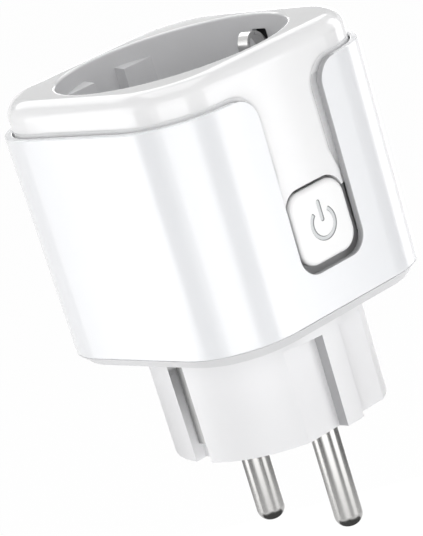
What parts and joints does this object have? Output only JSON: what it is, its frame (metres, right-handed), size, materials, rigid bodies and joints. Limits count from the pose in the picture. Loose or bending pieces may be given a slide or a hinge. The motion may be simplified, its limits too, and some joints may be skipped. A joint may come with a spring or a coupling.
{
  "type": "plug-in power meter",
  "caption": "Switched metering mains adapter: rounded-square sleeve over a round earthed plug, round socket recess on top, push button on one side.",
  "frame": {"origin": "centre of the plug's flat engagement face, midway between the two pins", "axes": "+Z out of the socket recess, away from the pins; +X towards the push button, along the line of the pins; +Y towards one earth contact"},
  "size_m": [0.05, 0.05, 0.083],
  "materials": {
    "sleeve_white": "satin-gloss cool white moulding",
    "cover_white": "high-gloss white moulding",
    "base_white": "satin white moulding",
    "well_grey": "light grey matte moulding",
    "frame_grey": "dark grey matte moulding",
    "nickel": "polished nickel plate",
    "spring_metal": "bright nickel-plated spring strip",
    "copper_alloy": "bare spring brass",
    "board_green": "solder-masked glass epoxy",
    "relay_case": "blue moulded case",
    "part_black": "black moulded epoxy",
    "can_aluminium": "sleeved aluminium can",
    "ferrite": "dark ferrite",
    "varistor_blue": "blue epoxy coat",
    "resistor_green": "flame-proof coat",
    "steel": "zinc-plated steel",
    "lamp": "clear epoxy lamp"
  },
  "bodies": {
    "housing": {"outer_sleeve": "sleeve_white", "top_cover": "cover_white", "socket_well": "well_grey", "plug_base": "base_white", "pin_line": "nickel", "pin_neutral": "nickel", "button_frame": "frame_grey", "tact_switch": "part_black", "button_board": "board_green", "indicator_led": "lamp", "contact_line": "copper_alloy", "contact_neutral": "copper_alloy", "line_bus": "copper_alloy", "neutral_bus": "copper_alloy", "earth_strap_left": "spring_metal", "earth_strap_right": "spring_metal", "earth_bridge": "spring_metal", "earth_clip_left": "spring_metal", "earth_clip_right": "spring_metal", "main_board": "board_green", "relay": "relay_case", "input_capacitor": "can_aluminium", "output_capacitor": "can_aluminium", "supply_inductor": "ferrite", "varistor": "varistor_blue", "fusible_resistor": "resistor_green", "metering_shunt": "copper_alloy", "metering_chip": "part_black", "supply_chip": "part_black", "bridge_rectifier": "part_black", "wireless_module": "board_green", "module_shield": "steel", "housing_screws": "steel"},
    "button": {"power_button": "sleeve_white", "switch_plunger": "part_black"}
  },
  "joints": [
    {"name": "button_press", "type": "slide", "parent": "housing", "child": "button", "axis": [-1, 0, 0], "range_m": [0, 0.0005], "stiffness_N_per_m": 3500}
  ]
}
